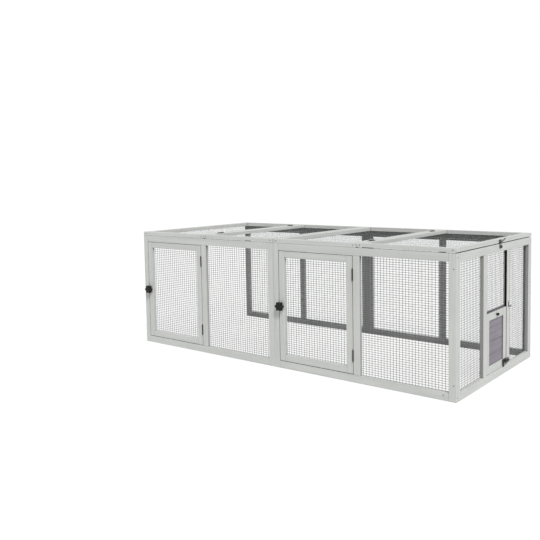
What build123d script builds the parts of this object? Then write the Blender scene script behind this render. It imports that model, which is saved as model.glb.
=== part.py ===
from build123d import *
from math import cos, radians, sin
import os

os.makedirs("parts", exist_ok=True)

# Driving dimensions in millimetres, measured from the front left bottom corner of the run
SECTION = 1187.0
SECTIONS = 2
LENGTH = SECTION * SECTIONS
DEPTH = 1092.0
WALL_TOP = 760.0
ROOF_TOP = 785.0
LID_UNDERSIDE = 765.0

# Timber
WIDE = 44.0
THICK = 22.0
CORNER_POST = 24.0
INNER_FRONT = THICK
INNER_BACK = DEPTH - THICK
INNER_END = LENGTH - THICK

# Bays of one section, along X from its left end
LATCH_STILE = 40.0
POST_LOW = 570.0
POST_HIGH = POST_LOW + WIDE
END_STILE = SECTION - WIDE
BACK_POST_LOW = 571.5

# Hinged mesh doors
DOOR_GAP = 3.0
DOOR_STILE = 42.0
DOOR_RAIL = 38.0
DOOR_LOW = WIDE + DOOR_GAP
DOOR_HIGH = WALL_TOP - WIDE - DOOR_GAP
DOOR_LEFT = LATCH_STILE + DOOR_GAP
DOOR_RIGHT = POST_LOW - DOOR_GAP

# Roof panels
PANELS = 4
PANEL = LENGTH / PANELS
PANEL_SPACE = 1.5

# Welded mesh of 19.05 by 12.7 mm, drawn as a coarse net that skips wires
MESH_LAP = 15.0
MESH_THICK = 2.0
MESH_BAR = 3.0
WIRE_COLUMN = 19.05
WIRE_ROW = 12.7
WALL_PITCH = (3 * WIRE_COLUMN, 4 * WIRE_ROW)
BACK_PITCH = (4 * WIRE_COLUMN, 5 * WIRE_ROW)
ROOF_PITCH = (3 * WIRE_COLUMN, 6 * WIRE_ROW)
LID_MESH_EDGE = 8.0
ROOF_MESH_EDGE = 27.0

# Hinges: five knuckles on one pin
KNUCKLES = 5
KNUCKLE_R = 3.0
KNUCKLE_SPACE = 0.3
PIN_R = 1.5
PIN_BORE_R = 1.55
PIN_HEAD_R = 2.6
PIN_HEAD = 1.5
LEAF = 1.2
POST_SIDE = (0, 2, 4)
SWING_SIDE = (1, 3)
DOOR_HINGE_TALL = 65.0
DOOR_HINGE_DEEP = 20.0
DOOR_HINGE_AXIS_Y = -3.2
DOOR_HINGE_SPREAD = 228.0
LID_HINGE_LONG = 50.0
LID_HINGE_WIDE = 14.5
LID_HINGE_AXIS_Z = ROOF_TOP + KNUCKLE_R
LID_HINGE_Y = (166.0, 926.0)

# Star knobs and the bars behind them
LATCH_X = 56.0
LATCH_Z = 380.0
STAR_REACH = 28.0
STAR_LOBE_R = 7.5
STAR_LOBES = 6
STAR_THICK = 22.0
STAR_HUB_R = 11.0
STAR_HUB = 8.0
STAR_BACK_SPACE = 0.3
STAR_ROUND = 2.0
SPINDLE_R = 4.0
SPINDLE_BORE_R = 4.05
SPINDLE_IN_KNOB = 12.0
BAR_WIDE = 14.0
BAR_THICK = 4.0
BAR_REACH = 53.0
BAR_Y = THICK + 2.0
WASHER_R = 9.0
KNOB_REACH = STAR_HUB + STAR_THICK

# Right end wall and its sliding pop door
STILE_1 = (343.0, 387.0)
STILE_2 = (684.0, 728.0)
POP_TONGUE = 6.0
POP_X = (LENGTH - 14.0, LENGTH - 4.0)
POP_TOP = 384.0
POP_STILE = 44.0
POP_TOP_RAIL = 344.0
POP_LOW_RAIL = 87.0
PLANK_THICK = 4.0
PLANK_JOINTS = (146.0, 222.0, 298.0)
PLANK_SPACE = 0.8
TRACK_WALL = 1.0
TRACK_SPACE = 0.3
TRACK_DEEP = 7.0
LINTEL_X = (LENGTH - 22.0, LENGTH - 16.0)
LINTEL_Z = (352.0, 394.0)

# Pull knob, slide bolt, keeper and hook at the pop door
PULL_Y = (STILE_1[1] + STILE_2[0]) / 2
PULL_Z = 366.0
PULL_R = 8.5
PULL_NECK_R = 4.5
PULL_NECK = 7.0
PULL_HEAD = 8.0
PULL_ROUND = 3.0
BOLT_X = LENGTH + 4.5
BOLT_Z = 68.0
BOLT_R = 3.0
BOLT_BORE_R = 3.05
BOLT_ENDS = (622.0, 684.0)
BOLT_HANDLE = 11.0
BOLT_HANDLE_LOW = 45.0
BOLT_PLATE_Y = (624.0, 683.0)
BOLT_PLATE_Z = (53.0, 85.0)
BOLT_LOOPS = ((657.0, 666.0), (674.0, 683.0))
LOOP_HALF = 5.5
LOOP_ROUND = 3.0
KEEPER_Y = (686.5, 713.0)
KEEPER_Z = (54.0, 83.0)
KEEPER_LOOP = (694.0, 708.0)
KEEPER_BORE_R = 3.5
PLATE = 1.2
HOOK_Y = (702.0, 712.0)
HOOK_Z = (380.0, 413.0)
HOOK_ARM = 4.0
HOOK_REACH = 17.0
HOOK_TIP = 12.0
HOOK_ROUND = 1.5

# Hasp on the right hand lid, with its staple and turn button
HASP_Y = 575.0
HASP_AXIS_X = 3.5
HASP_AXIS_Z = 764.0
HASP_R = 2.5
HASP_PLATE_WIDE = 40.0
HASP_PLATE_Z = (766.0, 784.0)
HASP_PIN_R = 1.25
HASP_BORE_R = 1.30
STRAP_WIDE = 26.0
STRAP_SPACE = 0.3
STRAP_LONG = 40.0
STRAP_THICK = 1.5
STRAP_ANGLE = 50.0
STRAP_SLOT = (7.0, 33.0)
STRAP_SLOT_WIDE = 10.0
STRAP_ROUND = 6.0
STAPLE_Z = 744.0
STAPLE_WIDE = 28.0
STAPLE_TALL = 20.0
BUTTON_NECK_R = 2.5
BUTTON_BORE_R = 2.55
BUTTON_NECK = 7.0
BUTTON_WING = (16.0, 6.0)
BUTTON_WING_THICK = 5.0
STRAP_RUN = cos(radians(STRAP_ANGLE))
STRAP_RISE = sin(radians(STRAP_ANGLE))
HASP_REACH = HASP_AXIS_X + STRAP_LONG * STRAP_RUN + STRAP_THICK / 2 * STRAP_RISE

# Wood screws
SCREW_HEAD_R = 4.0
SCREW_HEAD = 2.6
SCREW_R = 2.0
SCREW_LONG = 38.0
SCREW_SHORT = 18.0
SCREW_BESIDE_POST = 5.5
RAIL_SCREW = (2302.0, 27.0)
SECTION_SCREW = 70.0
SCREW_INSET = 22.0
SCREW_Z = (84.5, 680.0)
SECTION_SCREW_Z = (190.0, 570.0)

# The part's own origin is at the middle of its outer box, on the ground
CENTRE_X = (LENGTH + HASP_REACH) / 2
CENTRE_Y = (DEPTH - KNOB_REACH) / 2


def spot(x, y, z):
    """Point in the part's own frame, given from the front left bottom corner."""
    return (x - CENTRE_X, y - CENTRE_Y, z)


def facing_front(x, y, z):
    """Plane whose normal points to the front, with X to the right."""
    return Plane(origin=spot(x, y, z), x_dir=(1, 0, 0), z_dir=(0, -1, 0))


def facing_back(x, y, z):
    """Plane whose normal points to the back."""
    return Plane(origin=spot(x, y, z), x_dir=(-1, 0, 0), z_dir=(0, 1, 0))


def facing_end(x, y, z):
    """Plane whose normal points to the right, with X to the back."""
    return Plane(origin=spot(x, y, z), x_dir=(0, 1, 0), z_dir=(1, 0, 0))


def facing_left(x, y, z):
    """Plane whose normal points to the left."""
    return Plane(origin=spot(x, y, z), x_dir=(0, -1, 0), z_dir=(-1, 0, 0))


def facing_up(x, y, z):
    """Plane whose normal points up, with X to the right."""
    return Plane(origin=spot(x, y, z), x_dir=(1, 0, 0), z_dir=(0, 0, 1))


def board(x, y, z, mode=Mode.ADD):
    """Box between the low and high ends given along X, Y and Z."""
    with Locations(spot(x[0], y[0], z[0])):
        Box(x[1] - x[0], y[1] - y[0], z[1] - z[0], align=(Align.MIN, Align.MIN, Align.MIN), mode=mode)


def save(piece, label):
    """Labels a finished piece and writes it."""
    piece.label = label
    export_step(piece, f"parts/{label}.step")


def middle(span):
    """Middle of a low and high end."""
    return (span[0] + span[1]) / 2


def net(label, plane, wide, tall, pitch, thick=MESH_THICK):
    """Flat net of square bars: one sheet with a grid of gaps."""
    columns = int((wide - MESH_BAR) // pitch[0])
    rows = int((tall - MESH_BAR) // pitch[1])
    with BuildPart() as sheet:
        with BuildSketch(plane):
            Rectangle(wide, tall)
            with GridLocations(pitch[0], pitch[1], columns, rows):
                Rectangle(pitch[0] - MESH_BAR, pitch[1] - MESH_BAR, mode=Mode.SUBTRACT)
        extrude(amount=thick)
    save(sheet.part, label)


def screws(planes, length):
    """Countersunk screws, heads flush with the planes."""
    with Locations(*planes):
        Cone(SCREW_R, SCREW_HEAD_R, SCREW_HEAD, align=(Align.CENTER, Align.CENTER, Align.MAX))
        Cylinder(SCREW_R, length, align=(Align.CENTER, Align.CENTER, Align.MAX))


# Front and back frames, one pair for each section
for section in range(SECTIONS):
    number = section + 1
    left = section * SECTION
    rail_x = (left + LATCH_STILE, left + END_STILE)
    wall_y = (0, THICK)

    with BuildPart() as front_uprights:
        board((left, left + LATCH_STILE), wall_y, (0, WALL_TOP))
        board((left + POST_LOW, left + POST_HIGH), wall_y, (WIDE, WALL_TOP - WIDE))
        board((left + END_STILE, left + SECTION), wall_y, (0, WALL_TOP))
    save(front_uprights.part, f"front_{number}_uprights")

    with BuildPart() as front_rails:
        board(rail_x, wall_y, (0, WIDE))
        board(rail_x, wall_y, (WALL_TOP - WIDE, WALL_TOP))
    save(front_rails.part, f"front_{number}_rails")

    bay = (left + POST_HIGH - MESH_LAP, left + END_STILE + MESH_LAP)
    sheet_z = (WIDE - MESH_LAP, WALL_TOP - WIDE + MESH_LAP)
    bay_plane = facing_front(middle(bay), INNER_FRONT + MESH_THICK, middle(sheet_z))
    net(f"front_{number}_mesh", bay_plane, bay[1] - bay[0], sheet_z[1] - sheet_z[0], WALL_PITCH)

    back_y = (INNER_BACK, DEPTH)
    with BuildPart() as back_uprights:
        board((left, left + WIDE), back_y, (0, WALL_TOP))
        board((left + BACK_POST_LOW, left + BACK_POST_LOW + WIDE), back_y, (WIDE, WALL_TOP - WIDE))
        board((left + END_STILE, left + SECTION), back_y, (0, WALL_TOP))
    save(back_uprights.part, f"back_{number}_uprights")

    back_rail_x = (left + WIDE, left + END_STILE)
    with BuildPart() as back_rails:
        board(back_rail_x, back_y, (0, WIDE))
        board(back_rail_x, back_y, (WALL_TOP - WIDE, WALL_TOP))
    save(back_rails.part, f"back_{number}_rails")

    back_bay = (left + WIDE - MESH_LAP, left + END_STILE + MESH_LAP)
    back_plane = facing_front(middle(back_bay), INNER_BACK, middle(sheet_z))
    net(f"back_{number}_mesh", back_plane, back_bay[1] - back_bay[0], sheet_z[1] - sheet_z[0], BACK_PITCH)


# Right end wall: corner posts, rails, grooved stiles
end_x = (INNER_END, LENGTH)
corner_front = (INNER_FRONT, INNER_FRONT + CORNER_POST)
corner_back = (INNER_BACK - CORNER_POST, INNER_BACK)
with BuildPart() as end_corner_posts:
    board(end_x, corner_front, (0, WALL_TOP))
    board(end_x, corner_back, (0, WALL_TOP))
save(end_corner_posts.part, "end_corner_posts")

end_rail_y = (corner_front[1], corner_back[0])
with BuildPart() as end_rails:
    board(end_x, end_rail_y, (0, WIDE))
    board(end_x, end_rail_y, (WALL_TOP - WIDE, WALL_TOP))
save(end_rails.part, "end_rails")

stile_z = (WIDE, WALL_TOP - WIDE)
slot_x = (POP_X[0] - TRACK_SPACE, POP_X[1] + TRACK_SPACE)
track_x = (slot_x[0] - TRACK_WALL, slot_x[1] + TRACK_WALL)
track_1_y = (STILE_1[1] - TRACK_DEEP - TRACK_WALL, STILE_1[1])
track_2_y = (STILE_2[0], STILE_2[0] + TRACK_DEEP + TRACK_WALL)
with BuildPart() as end_stiles:
    board(end_x, STILE_1, stile_z)
    board(end_x, STILE_2, stile_z)
    board(track_x, track_1_y, stile_z, mode=Mode.SUBTRACT)
    board(track_x, track_2_y, stile_z, mode=Mode.SUBTRACT)
save(end_stiles.part, "end_stiles")

with BuildPart() as pop_door_tracks:
    board(track_x, track_1_y, stile_z)
    board(track_x, track_2_y, stile_z)
    board(slot_x, (STILE_1[1] - TRACK_DEEP, STILE_1[1]), stile_z, mode=Mode.SUBTRACT)
    board(slot_x, (STILE_2[0], STILE_2[0] + TRACK_DEEP), stile_z, mode=Mode.SUBTRACT)
save(pop_door_tracks.part, "pop_door_tracks")

pop_gap = (STILE_1[1], STILE_2[0])
with BuildPart() as pop_door_lintel:
    board(LINTEL_X, pop_gap, LINTEL_Z)
save(pop_door_lintel.part, "pop_door_lintel")


# Mesh of the right end wall
end_sheets = {
    "end_mesh_front": ((corner_front[1], STILE_1[0]), stile_z),
    "end_mesh_middle": (pop_gap, (LINTEL_Z[0] + 2 * MESH_LAP, stile_z[1])),
    "end_mesh_back": ((STILE_2[1], corner_back[0]), stile_z),
}
for name, (span_y, span_z) in end_sheets.items():
    sheet_wide = span_y[1] - span_y[0] + 2 * MESH_LAP
    sheet_tall = span_z[1] - span_z[0] + 2 * MESH_LAP
    end_plane = facing_end(INNER_END - MESH_THICK, middle(span_y), middle(span_z))
    net(name, end_plane, sheet_wide, sheet_tall, WALL_PITCH)


# Roof: four panels, the second and fourth are lids
for panel in range(PANELS):
    number = panel + 1
    is_lid = number % 2 == 0
    low_x = panel * PANEL + (PANEL_SPACE if panel > 0 else 0)
    high_x = (panel + 1) * PANEL - (PANEL_SPACE if number < PANELS else 0)
    frame_z = (LID_UNDERSIDE if is_lid else WALL_TOP, ROOF_TOP)

    with BuildPart() as long_members:
        board((low_x, high_x), (0, WIDE), frame_z)
        board((low_x, high_x), (DEPTH - WIDE, DEPTH), frame_z)
    with BuildPart() as side_members:
        board((low_x, low_x + WIDE), (WIDE, DEPTH - WIDE), frame_z)
        board((high_x - WIDE, high_x), (WIDE, DEPTH - WIDE), frame_z)
    frame = Compound(children=[long_members.part, side_members.part])
    save(frame, f"lid_{number}_frame" if is_lid else f"roof_{number}_frame")

    if is_lid:
        sheet_wide = high_x - low_x - 2 * LID_MESH_EDGE
        sheet_tall = DEPTH - 2 * LID_MESH_EDGE
        sheet_plane = facing_up((low_x + high_x) / 2, DEPTH / 2, WALL_TOP)
        net(f"lid_{number}_mesh", sheet_plane, sheet_wide, sheet_tall, ROOF_PITCH, LID_UNDERSIDE - WALL_TOP)
    else:
        sheet_wide = high_x - low_x - 2 * (WIDE - MESH_LAP)
        sheet_tall = DEPTH - 2 * ROOF_MESH_EDGE
        sheet_plane = facing_up((low_x + high_x) / 2, DEPTH / 2, WALL_TOP - MESH_THICK)
        net(f"roof_{number}_mesh", sheet_plane, sheet_wide, sheet_tall, ROOF_PITCH)


def hinge_leaves(label, planes, length, plate, tab, places):
    """Hinge leaves drawn across the pin: a plate, and knuckles at some of the five places."""
    pitch = length / KNUCKLES
    with BuildPart() as leaves:
        for plane in planes:
            with BuildSketch(plane):
                with Locations((middle(plate[0]), middle(plate[1]))):
                    Rectangle(plate[0][1] - plate[0][0], plate[1][1] - plate[1][0])
            extrude(amount=length)
            for place in places:
                with BuildSketch(plane.offset(place * pitch + KNUCKLE_SPACE / 2)):
                    Circle(KNUCKLE_R)
                    with Locations((middle(tab[0]), middle(tab[1]))):
                        Rectangle(tab[0][1] - tab[0][0], tab[1][1] - tab[1][0])
                    Circle(PIN_BORE_R, mode=Mode.SUBTRACT)
                extrude(amount=pitch - KNUCKLE_SPACE)
    save(leaves.part, label)


def hinge_pins(label, planes, length):
    """Pins with a flat head at each end."""
    with BuildPart() as pins:
        for plane in planes:
            with Locations(plane):
                Cylinder(PIN_R, length, align=(Align.CENTER, Align.CENTER, Align.MIN))
            with Locations(plane.offset(-PIN_HEAD), plane.offset(length)):
                Cylinder(PIN_HEAD_R, PIN_HEAD, align=(Align.CENTER, Align.CENTER, Align.MIN))
    save(pins.part, label)


# Hinged doors, one in each section
door_pin_planes = []
for section in range(SECTIONS):
    number = section + 1
    left = section * SECTION
    door_x = (left + DOOR_LEFT, left + DOOR_RIGHT)
    door_y = (0, THICK)
    door_z = (DOOR_LOW, DOOR_HIGH)
    latch_x = left + LATCH_X

    with BuildPart() as door_stiles:
        board((door_x[0], door_x[0] + DOOR_STILE), door_y, door_z)
        board((door_x[1] - DOOR_STILE, door_x[1]), door_y, door_z)
        with Locations(facing_front(latch_x, 0, LATCH_Z)):
            Hole(SPINDLE_BORE_R, THICK)
    save(door_stiles.part, f"door_{number}_stiles")

    opening_x = (door_x[0] + DOOR_STILE, door_x[1] - DOOR_STILE)
    opening_z = (door_z[0] + DOOR_RAIL, door_z[1] - DOOR_RAIL)
    with BuildPart() as door_rails:
        board(opening_x, door_y, (door_z[0], opening_z[0]))
        board(opening_x, door_y, (opening_z[1], door_z[1]))
    save(door_rails.part, f"door_{number}_rails")

    door_plane = facing_front(middle(opening_x), INNER_FRONT + MESH_THICK, middle(opening_z))
    mesh_wide = opening_x[1] - opening_x[0] + 2 * MESH_LAP
    mesh_tall = opening_z[1] - opening_z[0] + 2 * MESH_LAP
    net(f"door_{number}_mesh", door_plane, mesh_wide, mesh_tall, WALL_PITCH)

    axis_x = door_x[1] + DOOR_GAP / 2
    hinge_planes = []
    for side in (-1, 1):
        low_z = middle(door_z) + side * DOOR_HINGE_SPREAD - DOOR_HINGE_TALL / 2
        hinge_planes.append(facing_up(axis_x, DOOR_HINGE_AXIS_Y, low_z))
    door_pin_planes += hinge_planes

    # Both leaves stand in the gap beside the door and reach back from the pin
    plate_depth = (-DOOR_HINGE_AXIS_Y, DOOR_HINGE_DEEP - DOOR_HINGE_AXIS_Y)
    tab_depth = (-DOOR_HINGE_AXIS_Y - LEAF, -DOOR_HINGE_AXIS_Y + LEAF)
    door_span = (-DOOR_GAP / 2, -DOOR_GAP / 2 + LEAF)
    post_span = (DOOR_GAP / 2 - LEAF, DOOR_GAP / 2)
    hinge_leaves(f"door_{number}_post_leaves", hinge_planes, DOOR_HINGE_TALL,
                 (post_span, plate_depth), (post_span, tab_depth), POST_SIDE)
    hinge_leaves(f"door_{number}_door_leaves", hinge_planes, DOOR_HINGE_TALL,
                 (door_span, plate_depth), (door_span, tab_depth), SWING_SIDE)

    # Star knob: six lobes on a round hub, hollow for the spindle
    with BuildPart() as star_knob:
        with BuildSketch(facing_front(latch_x, -STAR_HUB, LATCH_Z)) as star:
            Circle(STAR_REACH - STAR_LOBE_R)
            with PolarLocations(STAR_REACH - STAR_LOBE_R, STAR_LOBES):
                Circle(STAR_LOBE_R)
            fillet(star.vertices(), STAR_LOBE_R / 2)
        extrude(amount=STAR_THICK)
        fillet(star_knob.faces().sort_by(Axis.Y)[0].outer_wire().edges(), STAR_ROUND)
        with Locations(facing_front(latch_x, -STAR_HUB, LATCH_Z)):
            Cylinder(STAR_HUB_R, STAR_HUB - STAR_BACK_SPACE, align=(Align.CENTER, Align.CENTER, Align.MAX))
        with Locations(facing_front(latch_x, 0, LATCH_Z)):
            Cylinder(SPINDLE_R, STAR_HUB + SPINDLE_IN_KNOB, mode=Mode.SUBTRACT,
                     align=(Align.CENTER, Align.CENTER, Align.MIN))
    save(star_knob.part, f"door_{number}_knob")

    # Latch bar on its spindle, hanging inside the door
    with BuildPart() as latch_bar:
        with Locations(facing_front(latch_x, BAR_Y + BAR_THICK, LATCH_Z)):
            Cylinder(SPINDLE_R, BAR_Y + BAR_THICK + STAR_HUB + SPINDLE_IN_KNOB,
                     align=(Align.CENTER, Align.CENTER, Align.MIN))
        with Locations(facing_front(latch_x, BAR_Y, LATCH_Z)):
            Cylinder(WASHER_R, BAR_Y - THICK - STAR_BACK_SPACE, align=(Align.CENTER, Align.CENTER, Align.MIN))
        with BuildSketch(facing_front(latch_x, BAR_Y + BAR_THICK, LATCH_Z)):
            Circle(BAR_WIDE / 2)
            with Locations((0, -BAR_REACH / 2)):
                RectangleRounded(BAR_WIDE, BAR_REACH, BAR_THICK / 2)
        extrude(amount=BAR_THICK)
    save(latch_bar.part, f"door_{number}_latch_bar")

hinge_pins("door_hinge_pins", door_pin_planes, DOOR_HINGE_TALL)


# Lid hinges lie open on the roof, with the pin over the joint between two panels
lid_pin_planes = []
for number in (2, 4):
    joint_x = (number - 1) * PANEL
    hinge_planes = []
    for y in LID_HINGE_Y:
        start = spot(joint_x, y + LID_HINGE_LONG / 2, LID_HINGE_AXIS_Z)
        hinge_planes.append(Plane(origin=start, x_dir=(1, 0, 0), z_dir=(0, -1, 0)))
    lid_pin_planes += hinge_planes
    leaf_rise = (-KNUCKLE_R, -KNUCKLE_R + LEAF)
    inner_edge = KNUCKLE_R + KNUCKLE_SPACE
    tab_edge = PIN_R + KNUCKLE_SPACE
    roof_plate = ((-LID_HINGE_WIDE, -inner_edge), leaf_rise)
    roof_tab = ((-inner_edge, -tab_edge), leaf_rise)
    lid_plate = ((inner_edge, LID_HINGE_WIDE), leaf_rise)
    lid_tab = ((tab_edge, inner_edge), leaf_rise)
    hinge_leaves(f"lid_{number}_roof_leaves", hinge_planes, LID_HINGE_LONG, roof_plate, roof_tab, POST_SIDE)
    hinge_leaves(f"lid_{number}_leaves", hinge_planes, LID_HINGE_LONG, lid_plate, lid_tab, SWING_SIDE)

hinge_pins("lid_hinge_pins", lid_pin_planes, LID_HINGE_LONG)


# Hasp plate on the lid, with the pin that carries the strap
plate_low_y = HASP_Y - HASP_PLATE_WIDE / 2
knuckle_long = (HASP_PLATE_WIDE - STRAP_WIDE) / 2 - STRAP_SPACE
hasp_plane = facing_back(LENGTH + HASP_AXIS_X, plate_low_y, HASP_AXIS_Z)
with BuildPart() as lid_latch_plate:
    board((LENGTH, LENGTH + PLATE), (plate_low_y, plate_low_y + HASP_PLATE_WIDE), HASP_PLATE_Z)
    for offset_y in (0, HASP_PLATE_WIDE - knuckle_long):
        ear_y = (plate_low_y + offset_y, plate_low_y + offset_y + knuckle_long)
        with Locations(hasp_plane.offset(offset_y)):
            Cylinder(HASP_R, knuckle_long, align=(Align.CENTER, Align.CENTER, Align.MIN))
        board((LENGTH, LENGTH + HASP_AXIS_X - PLATE), ear_y, (HASP_AXIS_Z - PLATE, HASP_PLATE_Z[0] + PLATE))
    with Locations(hasp_plane):
        Cylinder(HASP_PIN_R, HASP_PLATE_WIDE, align=(Align.CENTER, Align.CENTER, Align.MIN))
save(lid_latch_plate.part, "lid_latch_plate")

# Hasp strap, stored raised, with the slot that goes over the turn button
strap_root = spot(LENGTH + HASP_AXIS_X, HASP_Y, HASP_AXIS_Z)
strap_plane = Plane(origin=strap_root, x_dir=(STRAP_RUN, 0, STRAP_RISE), z_dir=(-STRAP_RISE, 0, STRAP_RUN))
with BuildPart() as lid_latch_strap:
    with BuildSketch(strap_plane.offset(-STRAP_THICK / 2)) as strap_outline:
        with Locations((STRAP_LONG / 2, 0)):
            Rectangle(STRAP_LONG, STRAP_WIDE)
        fillet(strap_outline.vertices().group_by(Axis.X)[-1], STRAP_ROUND)
        with Locations((middle(STRAP_SLOT), 0)):
            RectangleRounded(STRAP_SLOT[1] - STRAP_SLOT[0], STRAP_SLOT_WIDE, STRAP_THICK, mode=Mode.SUBTRACT)
    extrude(amount=STRAP_THICK)
    with Locations(facing_back(LENGTH + HASP_AXIS_X, HASP_Y - STRAP_WIDE / 2, HASP_AXIS_Z)):
        Cylinder(HASP_R, STRAP_WIDE, align=(Align.CENTER, Align.CENTER, Align.MIN))
        Cylinder(HASP_BORE_R, STRAP_WIDE, align=(Align.CENTER, Align.CENTER, Align.MIN), mode=Mode.SUBTRACT)
save(lid_latch_strap.part, "lid_latch_strap")

with BuildPart() as lid_latch_staple:
    with BuildSketch(facing_end(LENGTH, HASP_Y, STAPLE_Z)):
        RectangleRounded(STAPLE_WIDE, STAPLE_TALL, STRAP_THICK)
        Circle(BUTTON_BORE_R, mode=Mode.SUBTRACT)
    extrude(amount=PLATE)
save(lid_latch_staple.part, "lid_latch_staple")

with BuildPart() as lid_latch_button:
    with Locations(facing_end(LENGTH, HASP_Y, STAPLE_Z)):
        Cylinder(BUTTON_NECK_R, BUTTON_NECK, align=(Align.CENTER, Align.CENTER, Align.MIN))
    with BuildSketch(facing_end(LENGTH + BUTTON_NECK, HASP_Y, STAPLE_Z)):
        RectangleRounded(BUTTON_WING[1], BUTTON_WING[0], BUTTON_WING[1] / 2 - STRAP_SPACE)
    extrude(amount=BUTTON_WING_THICK)
save(lid_latch_button.part, "lid_latch_button")


# Sliding pop door: frame in the tracks, planks set back between its members
pop_z = (WIDE, POP_TOP)
pop_y = (pop_gap[0] - POP_TONGUE, pop_gap[1] + POP_TONGUE)
panel_y = (pop_gap[0] + POP_STILE, pop_gap[1] - POP_STILE)
with BuildPart() as pop_stiles:
    board(POP_X, (pop_y[0], panel_y[0]), pop_z)
    board(POP_X, (panel_y[1], pop_y[1]), pop_z)
with BuildPart() as pop_rails:
    board(POP_X, panel_y, (pop_z[0], POP_LOW_RAIL))
    board(POP_X, panel_y, (POP_TOP_RAIL, pop_z[1]))
save(Compound(children=[pop_stiles.part, pop_rails.part]), "pop_door_frame")

plank_edges = (POP_LOW_RAIL, *PLANK_JOINTS, POP_TOP_RAIL)
with BuildPart() as pop_door_planks:
    for low_z, high_z in zip(plank_edges, plank_edges[1:]):
        low_edge = low_z if low_z == POP_LOW_RAIL else low_z + PLANK_SPACE / 2
        high_edge = high_z if high_z == POP_TOP_RAIL else high_z - PLANK_SPACE / 2
        board((POP_X[0], POP_X[0] + PLANK_THICK), panel_y, (low_edge, high_edge))
save(pop_door_planks.part, "pop_door_planks")

with BuildPart() as pop_door_knob:
    with Locations(facing_end(POP_X[1], PULL_Y, PULL_Z)):
        Cylinder(PULL_NECK_R, PULL_NECK, align=(Align.CENTER, Align.CENTER, Align.MIN))
    with Locations(facing_end(POP_X[1] + PULL_NECK, PULL_Y, PULL_Z)):
        Cylinder(PULL_R, PULL_HEAD, align=(Align.CENTER, Align.CENTER, Align.MIN))
    fillet(pop_door_knob.edges().filter_by(GeomType.CIRCLE).sort_by(Axis.X)[-1], PULL_ROUND)
save(pop_door_knob.part, "pop_door_knob")

# Slide bolt: base with two loops on the door, rod with its handle, keeper on the stile
with BuildPart() as pop_bolt_base:
    board((POP_X[1], POP_X[1] + PLATE), BOLT_PLATE_Y, BOLT_PLATE_Z)
    for loop_y in BOLT_LOOPS:
        board((POP_X[1] + PLATE, BOLT_X + LOOP_HALF), loop_y, (BOLT_Z - LOOP_HALF, BOLT_Z + LOOP_HALF))
    fillet(pop_bolt_base.edges().filter_by(Axis.Y).group_by(Axis.X)[-1], LOOP_ROUND)
    with Locations(facing_front(BOLT_X, BOLT_PLATE_Y[1], BOLT_Z)):
        Cylinder(BOLT_BORE_R, BOLT_PLATE_Y[1] - BOLT_PLATE_Y[0], mode=Mode.SUBTRACT,
                 align=(Align.CENTER, Align.CENTER, Align.MIN))
save(pop_bolt_base.part, "pop_bolt_base")

with BuildPart() as pop_bolt_rod:
    with Locations(facing_front(BOLT_X, BOLT_ENDS[1], BOLT_Z)):
        Cylinder(BOLT_R, BOLT_ENDS[1] - BOLT_ENDS[0], align=(Align.CENTER, Align.CENTER, Align.MIN))
    handle_y = (BOLT_ENDS[0], BOLT_ENDS[0] + BOLT_HANDLE)
    board((BOLT_X - BOLT_R, BOLT_X + BOLT_R), handle_y, (BOLT_HANDLE_LOW, BOLT_Z))
save(pop_bolt_rod.part, "pop_bolt_rod")

with BuildPart() as pop_bolt_keeper:
    board((LENGTH, LENGTH + PLATE), KEEPER_Y, KEEPER_Z)
    board((LENGTH + PLATE, BOLT_X + LOOP_HALF), KEEPER_LOOP, (BOLT_Z - LOOP_HALF, BOLT_Z + LOOP_HALF))
    fillet(pop_bolt_keeper.edges().filter_by(Axis.Y).group_by(Axis.X)[-1], LOOP_ROUND)
    with Locations(facing_front(BOLT_X, KEEPER_LOOP[1], BOLT_Z)):
        Cylinder(KEEPER_BORE_R, KEEPER_LOOP[1] - KEEPER_LOOP[0], mode=Mode.SUBTRACT,
                 align=(Align.CENTER, Align.CENTER, Align.MIN))
save(pop_bolt_keeper.part, "pop_bolt_keeper")

# Hook beside the pop door
arm_y = (middle(HOOK_Y) - HOOK_ARM / 2, middle(HOOK_Y) + HOOK_ARM / 2)
arm_low = HOOK_Z[0] + HOOK_ARM
with BuildPart() as pop_door_hook:
    board((LENGTH, LENGTH + PLATE), HOOK_Y, HOOK_Z)
    board((LENGTH + PLATE, LENGTH + HOOK_REACH), arm_y, (arm_low, arm_low + HOOK_ARM))
    board((LENGTH + HOOK_REACH - HOOK_ARM, LENGTH + HOOK_REACH), arm_y, (arm_low, arm_low + HOOK_TIP))
    fillet(pop_door_hook.edges().filter_by(Axis.Y).group_by(Axis.X)[-1], HOOK_ROUND)
save(pop_door_hook.part, "pop_door_hook")


# Screws that hold the fixed frames together
post_x = INNER_END + SCREW_BESIDE_POST
front_planes = [facing_front(post_x, 0, z) for z in SCREW_Z]
back_planes = [facing_back(post_x, DEPTH, z) for z in SCREW_Z]
wall_middles = (THICK / 2, DEPTH - THICK / 2)
rail_middles = (WIDE / 2, WALL_TOP - WIDE / 2)
stile_end_planes = [facing_end(LENGTH, y, z) for y in wall_middles for z in rail_middles]
section_planes = [facing_left(END_STILE, y, z) for y in wall_middles for z in SECTION_SCREW_Z]
roof_z = middle((WALL_TOP, ROOF_TOP))
roof_planes = []
for low_x in (0, 2 * PANEL):
    for x in (low_x + SCREW_INSET, low_x + PANEL - SCREW_INSET):
        roof_planes += [facing_front(x, 0, roof_z), facing_back(x, DEPTH, roof_z)]
with BuildPart() as frame_screws:
    screws(front_planes + back_planes + roof_planes, SCREW_LONG)
    screws([facing_front(RAIL_SCREW[0], 0, RAIL_SCREW[1])], SCREW_SHORT)
    screws(stile_end_planes, WIDE + SCREW_SHORT)
    screws(section_planes, SECTION_SCREW)
save(frame_screws.part, "frame_screws")
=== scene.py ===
import math
import random

import bpy
import bmesh
from mathutils import Matrix, Vector


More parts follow.
